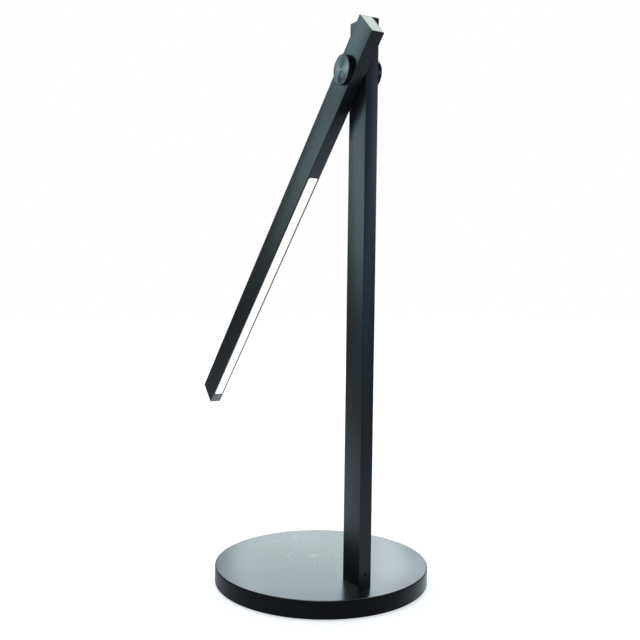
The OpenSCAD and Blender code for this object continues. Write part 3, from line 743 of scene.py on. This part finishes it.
def spin(name, outline, place, material, steps):
    """Spins a closed outline of (radius, height) points about Z and puts the result in place."""
    mesh = bpy.data.meshes.new(name)
    closed = outline + outline[:1]
    mesh.from_pydata([(r, 0, z) for r, z in closed], [(i, i + 1) for i in range(len(closed) - 1)], [])
    piece = show(name, mesh)
    use_tree(piece, spin_tree, {"Steps": steps, "Material": material})
    made = bmesh.new()
    made.from_mesh(piece.data)
    bpy.data.objects.remove(piece)
    return finish_mesh(made, name, place)

# %% [markdown]
# ## The base cover
# The outline runs from the centre of the top, over an eased edge of 1 mm, down the side, and back inside the
# wall. Two things are cut out of it: the rectangular seat that the post stands in, and a round recess in the
# side, away from the arm, that leads to the power socket. A thin sleeve lines the recess.

# %% Base cover
cover_low, cover_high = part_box("base_cover")
base_radius = (cover_high.x - cover_low.x) / 2
top_z, foot_z = cover_high.z, cover_low.z
BASE_WALL = 2.4 * MM
BASE_TOP_WALL = 2.2 * MM
BASE_EASE = 1.0 * MM
BASE_STEPS = 256
TOP_EDGE_STEPS = 8
FOOT_EDGE_STEPS = 6
TOP_FINISH_REACH = 0.3 * MM
SEAT_PLAY = 0.2 * MM
RECESS_RADIUS = 4.8 * MM
base_outline = (
    [(0, top_z)]
    + arc((base_radius - BASE_EASE, top_z - BASE_EASE), BASE_EASE, 90, 0, TOP_EDGE_STEPS)
    + arc((base_radius - BASE_EASE, foot_z + BASE_EASE), BASE_EASE, 0, -90, FOOT_EDGE_STEPS)
    + [(base_radius - BASE_WALL, foot_z), (base_radius - BASE_WALL, top_z - BASE_TOP_WALL),
       (0, top_z - BASE_TOP_WALL)]
)
base = spin("base_shell", base_outline, None, base_side, BASE_STEPS)
seat_outline = round_rectangle(bar_width + SEAT_PLAY, bar_depth + SEAT_PLAY, LONG_EDGE)
seat = finish_mesh(loft([(seat_outline, post_low.z), (seat_outline, top_z + CUT_PAST)], closed=False),
                   "seat", post_axis)
socket_z = middle("dc_jack").z
recess = rod("recess", RECESS_RADIUS, (-base_radius - CUT_PAST, 0, socket_z),
             (-base_radius + BASE_WALL + CUT_PAST, 0, socket_z))
cut_away(base, [seat, recess])
settle(base, "stand", "cover_black", base_side, "base_cover")
base.data.materials.append(base_top)
for face in base.data.polygons:
    if face.center.z > top_z - TOP_FINISH_REACH:
        face.material_index = 1

# %% Sleeve of the power socket
SLEEVE_SINK = 0.4 * MM
SLEEVE_WALL = 0.8 * MM
SLEEVE_STEPS = 48
sleeve_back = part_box("dc_jack")[0].x + base_radius
sleeve_outer = RECESS_RADIUS + SLEEVE_WALL
sleeve_outline = [(RECESS_RADIUS, SLEEVE_SINK), (sleeve_outer, SLEEVE_SINK),
                  (sleeve_outer, sleeve_back), (RECESS_RADIUS, sleeve_back)]
sleeve_place = Matrix.Translation((-base_radius, 0, socket_z)) @ Matrix.Rotation(math.radians(90), 4, "Y")
sleeve_black = slot_materials["socket_black"]
sleeve = spin("socket_sleeve", sleeve_outline, sleeve_place, sleeve_black, SLEEVE_STEPS)
settle(sleeve, "stand", "socket_black", sleeve_black)

# %% [markdown]
# ## Hinge covers
# Each is a shallow cup of 23 mm, spun like the base, with a small round on its rim and a face dished by less
# than a tenth of a millimetre. Two of the same cup sit back to back on the hinge axis. Only their faces are
# spun metal. Their rims differ only as painted shade: the arm's cover has a darker, duller rim, and the
# post's has the post's own shinier finish there.

# %% Hinge covers
RIM_EASE = 0.35 * MM
RIM_EASE_STEPS = 5
OPEN_EDGE_EASE = 0.15 * MM
FACE_WALL = 0.8 * MM
FACE_DISH = 0.08 * MM
DISH_HALFWAY = 0.6
HINGE_COVER_STEPS = 128
ARM_COVER_HOLLOW = 7.1 * MM
POST_COVER_HOLLOW = 6.4 * MM
FACE_TURNS_RIM = 0.6  # below this cosine between its normal and the axis, a face is the rim's


def hinge_cover(name, cad_node, hollow, outward, body, rim):
    """A cup whose open side lies on its bar; outward is +1 or -1, the way that its face looks along X."""
    low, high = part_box(cad_node)
    thick = high.x - low.x
    radius = (high.z - low.z) / 2
    foot = low.x if outward > 0 else high.x
    outline = (
        [(0, thick - FACE_DISH), (radius / 2, thick - FACE_DISH * DISH_HALFWAY)]
        + arc((radius - RIM_EASE, thick - RIM_EASE), RIM_EASE, 90, 0, RIM_EASE_STEPS)
        + [(radius, OPEN_EDGE_EASE), (radius - OPEN_EDGE_EASE, 0), (hollow, 0),
           (hollow, thick - FACE_WALL), (0, thick - FACE_WALL)]
    )
    place = (Matrix.Translation((foot, pivot.y, pivot.z))
             @ Matrix.Rotation(math.radians(90 * outward), 4, "Y"))
    piece = spin(name, outline, place, spun_metal, HINGE_COVER_STEPS)
    settle(piece, body, "knob_metal", spun_metal, cad_node)
    piece.data.materials.append(rim)
    for face in piece.data.polygons:
        if abs(face.normal.x) < FACE_TURNS_RIM:
            face.material_index = 1


# The arm's cover gets the darker rim as painted shade; the post's cover gets the post's shinier finish.
hinge_cover("arm_side_cover", "hinge_cover_arm", ARM_COVER_HOLLOW, 1, "arm", rim_painted_shade)
hinge_cover("post_side_cover", "hinge_cover_post", POST_COVER_HOLLOW, -1, "stand", post_finish)

# %% [markdown]
# ## Printed marks
# A dashed ring shows where to lay a phone, and two small signs mark the touch keys. The dashes repeat, so
# Geometry Nodes place them: a circle is resampled to as many points as there are dashes, and one dash is
# put on each, turned along the circle. The same tree makes the rays of the brightness sign.

# %% Node tree: pieces round a circle
ring_tree, ring_in, ring_out = geometry_tree(
    "pieces_round_circle",
    [("Radius", FLOAT, 0.02), ("Count", INTEGER, 32), ("Size", VECTOR, (0.002, 0.0004, 0.00003)),
     ("Material", MATERIAL, None)])
circle = node(ring_tree, "GeometryNodeCurvePrimitiveCircle",
              {"Radius": ring_in.outputs["Radius"], "Resolution": 256}).outputs[0]
spots = node(ring_tree, "GeometryNodeCurveToPoints",
             {"Curve": circle, "Count": ring_in.outputs["Count"]}, mode="COUNT")
dash = node(ring_tree, "GeometryNodeMeshCube", {"Size": ring_in.outputs["Size"]}).outputs[0]
laid = node(ring_tree, "GeometryNodeInstanceOnPoints",
            {"Points": spots.outputs["Points"], "Instance": dash}).outputs[0]
spot_angle = maths(ring_tree, "DIVIDE",
                   maths(ring_tree, "MULTIPLY", node(ring_tree, "GeometryNodeInputIndex").outputs[0],
                         2 * math.pi), ring_in.outputs["Count"])
quarter_on = maths(ring_tree, "ADD", spot_angle, math.pi / 2)
turn_vector = node(ring_tree, "ShaderNodeCombineXYZ", {"Z": quarter_on}).outputs[0]
faced = node(ring_tree, "GeometryNodeRotateInstances",
             {"Instances": laid, "Rotation": turn_vector}).outputs[0]
real = node(ring_tree, "GeometryNodeRealizeInstances", {"Geometry": faced}).outputs[0]
ring_coat = node(ring_tree, "GeometryNodeSetMaterial",
                 {"Geometry": real, "Material": ring_in.outputs["Material"]}).outputs[0]
feed(ring_tree, ring_out, {"Geometry": ring_coat})
print("ring tree nodes:", len(ring_tree.nodes))

# %% [markdown]
# ## Ink
# The marks are printed, so each is a plate of ink 0.04 mm thick that lies a hair deep in the top. A sign is
# one or more outlines with that thickness. The signs are plain ones: a bolt in a frame, a power sign and a
# little sun.

# %% Making marks
INK_THICK = 0.04 * MM
INK_DEEP = 0.005 * MM
INK_LOW, INK_HIGH = -INK_THICK / 2, INK_THICK / 2
INK_Z = top_z + INK_THICK / 2 - INK_DEEP
BOW_STEPS = 24
ink = satin("printed_marks", (0.74, 0.76, 0.76), 0.5, clouds=0.08, depth=0.05)


def print_on_base(piece, at):
    piece.data.transform(Matrix.Translation(at))
    settle(piece, "stand", "cover_black", ink)


def ring_of(name, at, radius, count, size):
    piece = show(name, bpy.data.meshes.new(name))
    use_tree(piece, ring_tree, {"Radius": radius, "Count": count, "Size": size, "Material": ink})
    print_on_base(piece, at)


def sign(name, at, outlines):
    """A printed sign of one or more filled outlines."""
    made = bmesh.new()
    for points in outlines:
        loft([(points, INK_LOW), (points, INK_HIGH)], closed=False, made=made)
    print_on_base(finish_mesh(made, name), at)


def sign_frame(name, at, width, depth, corner, stroke):
    """A printed frame with round corners."""
    outer = round_rectangle(width, depth, corner)
    inner = round_rectangle(width - 2 * stroke, depth - 2 * stroke, corner - stroke)
    made = loft([(outer, INK_LOW), (outer, INK_HIGH), (inner, INK_HIGH), (inner, INK_LOW)], closed=True)
    print_on_base(finish_mesh(made, name), at)


def bow(inner, outer, start, end):
    """Outline of a bent stroke between two radii, in degrees."""
    return arc((0, 0), outer, start, end, BOW_STEPS) + arc((0, 0), inner, end, start, BOW_STEPS)


def bar_mark(width, low, high):
    return [(-width / 2, low), (width / 2, low), (width / 2, high), (-width / 2, high)]

# %% Marks over the charging coil
RING_RADIUS = 21.2 * MM
RING_DASHES = 32
RING_DASH = (2.1 * MM, 0.42 * MM, INK_THICK)
FRAME_WIDTH = 7.6 * MM
FRAME_DEPTH = 5.4 * MM
FRAME_CORNER = 1.2 * MM
STROKE = 0.6 * MM
charge_at = Vector((0, middle("charging_coil").y, INK_Z))
bolt = [(x * MM, y * MM) for x, y in
        ((0.3, 1.7), (-1.1, -0.2), (-0.2, -0.2), (-0.5, -1.7), (1.0, 0.4), (0.1, 0.4), (0.9, 1.7))]
ring_of("charging_ring", charge_at, RING_RADIUS, RING_DASHES, RING_DASH)
sign("charging_sign", charge_at, [bolt])
sign_frame("charging_frame", charge_at, FRAME_WIDTH, FRAME_DEPTH, FRAME_CORNER, STROKE)

# %% Marks over the touch keys
DIM_KEY_IN = 5.0 * MM
POWER_KEY_IN = 6.5 * MM
POWER_GAP = (55, 125)
POWER_RADIUS = 2.3 * MM
POWER_BAR_TOP = 3.3 * MM
SUN_RADIUS = 1.0 * MM
SUN_RAYS = 8
SUN_RAYS_RADIUS = 2.8 * MM
SUN_RAY = (0.5 * MM, 1.0 * MM, INK_THICK)
keys_low, keys_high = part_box("touch_electrodes")
keys_y = middle("touch_electrodes").y
dim_key = Vector((keys_low.x + DIM_KEY_IN, keys_y, INK_Z))
power_key = Vector((keys_high.x - POWER_KEY_IN, keys_y, INK_Z))
power_bow = bow(POWER_RADIUS, POWER_RADIUS + STROKE, POWER_GAP[1], 360 + POWER_GAP[0])
sign("power_sign", power_key, [power_bow, bar_mark(STROKE, STROKE, POWER_BAR_TOP)])
ring_of("brightness_rays", dim_key, SUN_RAYS_RADIUS, SUN_RAYS, SUN_RAY)
sun_halves = [bow(SUN_RADIUS, SUN_RADIUS + STROKE, start, start + 180) for start in (0, 180)]
sign("brightness_sign", dim_key, sun_halves)

# %% [markdown]
# ## The floor
# The floor looks white to the camera and through clear plastic. Near the lamp less of that white is its own,
# and its pale coat makes up the rest, so the lamp's soft shadow stays. Black gloss that mirrors all of the
# white turns grey, so a reflection sees only a share of it, a little bluish: four fifths of the floor at the
# lamp's -X side, one fifth at the +X side, and none behind the lamp or further off.

# %% Floor
FLOOR_HALF = 6.0
FLOOR_OWN = 0.62
NEAR_FADE = (0.25, 0.9)  # metres from the lamp
REAR_FADE = (0.06, 0.14)  # along Y
SIDE_FADE = (-0.05, 0.0)  # along X
SHARE_MINUS_X, SHARE_PLUS_X = 0.8, 0.2
REFLECTED_TINT = (0.82, 0.96, 1.15)
FLOOR_PALE = ((0.53, 0.57, 0.62), (0.57, 0.61, 0.66))
FLOOR_FAR = (0.28, 0.28, 0.28)


def fade(tree, value, reach, first, last):
    """Goes smoothly from first to last while the value goes through its reach."""
    return node(tree, "ShaderNodeMapRange",
                {"Value": value, "From Min": reach[0], "From Max": reach[1], "To Min": first, "To Max": last},
                interpolation_type="SMOOTHSTEP").outputs["Result"]


def floor_finish():
    material = bpy.data.materials.new("floor_pale")
    material.use_nodes = True
    tree = material.node_tree
    tree.nodes.clear()
    place = node(tree, "ShaderNodeTexCoord").outputs["Object"]
    near = fade(tree, vector_maths(tree, "LENGTH", place)["Value"], NEAR_FADE, 1.0, 0.0)
    split = node(tree, "ShaderNodeSeparateXYZ", {0: place})
    front = fade(tree, split.outputs["Y"], REAR_FADE, 1.0, 0.0)
    side = fade(tree, split.outputs["X"], SIDE_FADE, SHARE_MINUS_X, SHARE_PLUS_X)
    path = node(tree, "ShaderNodeLightPath")
    seen = maths(tree, "MAXIMUM", path.outputs["Is Camera Ray"], path.outputs["Is Transmission Ray"])
    seen = maths(tree, "MULTIPLY", seen, maths(tree, "MULTIPLY_ADD", near, FLOOR_OWN - 1, 1.0))
    shown = maths(tree, "MULTIPLY", maths(tree, "MULTIPLY", near, front), side)
    mirrored = maths(tree, "MULTIPLY", path.outputs["Is Glossy Ray"], shown)
    tint = blend_colours(tree, path.outputs["Is Glossy Ray"], (1, 1, 1), REFLECTED_TINT)
    own = node(tree, "ShaderNodeEmission", {"Color": tint})
    feed(tree, own, {"Strength": maths(tree, "ADD", seen, mirrored, clamp=True)})
    cloud = node(tree, "ShaderNodeTexNoise", {"Vector": place, "Scale": 3.0}).outputs["Fac"]
    pale = blend_colours(tree, cloud, *FLOOR_PALE)
    pale = blend_colours(tree, near, FLOOR_FAR, pale)
    matt = node(tree, "ShaderNodeBsdfDiffuse", {"Color": pale}).outputs[0]
    both = node(tree, "ShaderNodeAddShader", {0: own.outputs[0], 1: matt}).outputs[0]
    node(tree, "ShaderNodeOutputMaterial", {"Surface": both})
    return material


made = bmesh.new()
bmesh.ops.create_grid(made, x_segments=4, y_segments=4, size=FLOOR_HALF)
floor = finish_mesh(made, "floor")
paint(floor, floor_finish())
print("floor side in metres:", 2 * FLOOR_HALF)

# %% [markdown]
# ## The room
# The world is white to the camera and through clear plastic. Reflections see a twentieth of that, for the
# same reason as on the floor, and it adds a fifth of full light everywhere, which keeps shadows soft.

# %% World
ROOM_LIGHT = 0.2
ROOM_REFLECTED = 0.05
world = bpy.data.worlds.new("studio")
bpy.context.scene.world = world
world.use_nodes = True
room = world.node_tree
room.nodes.clear()
path = node(room, "ShaderNodeLightPath")
seen = maths(room, "MAXIMUM", path.outputs["Is Camera Ray"], path.outputs["Is Transmission Ray"])
unseen = maths(room, "SUBTRACT", 1.0, maths(room, "MAXIMUM", seen, path.outputs["Is Glossy Ray"]))
shown = maths(room, "MULTIPLY_ADD", path.outputs["Is Glossy Ray"], ROOM_REFLECTED, seen, clamp=True)
strength = maths(room, "MULTIPLY_ADD", unseen, ROOM_LIGHT, shown)
white = node(room, "ShaderNodeBackground", {"Color": rgba((1, 1, 1)), "Strength": strength})
node(room, "ShaderNodeOutputWorld", {"Surface": white.outputs[0]})
print("room light:", ROOM_LIGHT, "reflected share:", ROOM_REFLECTED)

# %% [markdown]
# ## Soft panels
# A black finish shows its lamps rather than its colour, so most panels stand where one face reflects them to
# the camera. Five low panels on the side away from the camera make the sheen on the base's top. A near column
# of three beside the arm, and one further off, draw the faces on that side, and two more draw the rear faces.
# A high one shines off the arm's upper end. The plain light comes from the wide panel overhead and the two
# fills. Directions are degrees round the lamp from +X and up from level, sizes are degrees as seen from the
# lamp, and the three numbers are how bright the panel's face is in each colour.
#
# Light linking keeps the panels beside the arm off the base, as a flag does in a studio. The base's glossy
# top would bounce their light onto the foot of the post, which is to stay dark.

# %% Lamps
PANEL_CENTRE = Vector((0, 0, 0.2))
PANELS = [
    # name, distance, round, up, wide, high, brightness
    ("overhead", 2.0, 0, 88, 30, 30, (5.0, 5.0, 5.0)),
    ("arm_end", 2.0, -147, 53, 22, 18, (3.2, 3.5, 3.4)),
    ("behind_low", 2.2, -120, 6, 18, 10, (2.0, 2.3, 2.4)),
    ("behind_left", 2.2, -140, 16, 24, 11, (2.6, 3.0, 3.25)),
    ("behind_middle", 2.2, -120, 16, 18, 10, (2.15, 2.4, 2.43)),
    ("behind_right", 2.2, -100, 18, 24, 14, (1.2, 1.45, 1.55)),
    ("behind_high", 2.2, -120, 28, 18, 16, (2.1, 2.6, 2.9)),
    ("arm_side_low", 1.1, -54, 10, 14, 8, (1.1, 1.3, 1.1)),
    ("arm_side_middle", 1.1, -54, 18, 14, 8, (1.95, 2.6, 2.65)),
    ("arm_side_high", 1.1, -54, 32, 14, 14, (2.49, 3.61, 3.95)),
    ("arm_side_far", 2.2, -45, 6, 13, 8, (2.5, 3.6, 4.6)),
    ("rear_low", 2.2, 115, 3, 20, 11, (0.57, 1.20, 1.70)),
    ("rear_side", 2.2, 135, 14, 20, 11, (2.2, 2.5, 3.3)),
    ("front_fill", 2.2, 62, 30, 36, 22, (1.6, 1.7, 1.8)),
    ("side_fill", 2.2, 5, 32, 30, 20, (1.8, 1.9, 2.0)),
]
flagged = bpy.data.collections.new("flagged_from_side_panels")
flagged.objects.link(base)
flagged.collection_objects[0].light_linking.link_state = "EXCLUDE"


def panel(name, distance, round_deg, up_deg, wide_deg, high_deg, brightness):
    """A soft panel that faces the lamp; its power follows from its size and how bright its face is."""
    turn, rise = math.radians(round_deg), math.radians(up_deg)
    way = Vector((math.cos(rise) * math.cos(turn), math.cos(rise) * math.sin(turn), math.sin(rise)))
    at = PANEL_CENTRE + distance * way
    peak = max(brightness)
    data = bpy.data.lights.new("panel_" + name, "AREA")
    data.shape = "RECTANGLE"
    data.size = 2 * distance * math.tan(math.radians(wide_deg / 2))
    data.size_y = 2 * distance * math.tan(math.radians(high_deg / 2))
    data.energy = peak * math.pi * data.size * data.size_y
    data.color = [share / peak for share in brightness]
    made = show(data.name, data)
    made.matrix_world = Matrix.Translation(at) @ (-way).to_track_quat("-Z", "Y").to_matrix().to_4x4()
    made.visible_camera = False
    if name.startswith("arm_side"):
        made.light_linking.receiver_collection = flagged


for settings in PANELS:
    panel(*settings)
print("panels:", len(PANELS))

# %% [markdown]
# ## The view
# The Standard view shows each colour as it is written, where others bend the tones.

# %% View settings
bpy.context.scene.view_settings.view_transform = "Standard"
print("view transform:", bpy.context.scene.view_settings.view_transform)
